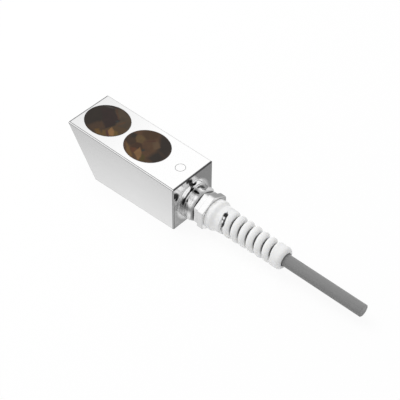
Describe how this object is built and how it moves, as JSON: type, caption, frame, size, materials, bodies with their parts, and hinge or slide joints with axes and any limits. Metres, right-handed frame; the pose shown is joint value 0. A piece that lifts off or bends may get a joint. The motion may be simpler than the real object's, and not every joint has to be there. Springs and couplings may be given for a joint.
{
  "type": "doppler flow sensor",
  "caption": "Steel ultrasonic doppler flow sensor: slanted transducers under amber windows in a bevelled head, with a cable gland and a spiral bend protector on its end.",
  "frame": {"origin": "middle of the head's footprint, at the height of the underside's lowest edge", "axes": "+X along the head towards the cable, +Z out of the sensing face"},
  "size_m": [0.1891, 0.03, 0.031],
  "materials": {
    "steel": "fine ground, bright",
    "amber_window": "polished, translucent dark amber",
    "seal_rubber": "matt",
    "crystal_ceramic": "silvered ceramic",
    "backing_resin": "cast, matt",
    "centring_plastic": "matt",
    "lead_red": "satin",
    "lead_blue": "satin",
    "potting_resin": "cast, satin",
    "nickel": "bright plated",
    "cage_plastic": "satin",
    "guard_plastic": "moulded, satin white",
    "cable_jacket": "smooth grey jacket"
  },
  "bodies": {
    "root": {"housing": "steel", "transmit_window": "amber_window", "receive_window": "amber_window", "transmit_window_seal": "seal_rubber", "receive_window_seal": "seal_rubber", "transmit_crystal": "crystal_ceramic", "receive_crystal": "crystal_ceramic", "transmit_backing": "backing_resin", "receive_backing": "backing_resin", "transmit_centring_ring": "centring_plastic", "receive_centring_ring": "centring_plastic", "transmit_lead": "lead_red", "receive_lead": "lead_blue", "potting": "potting_resin", "fill_plug": "steel", "port_seal": "seal_rubber", "gland_body": "nickel", "sealing_insert": "seal_rubber", "clamping_cage": "cage_plastic", "cap_nut": "nickel", "bend_protector": "guard_plastic", "cable": "cable_jacket"}
  },
  "joints": []
}
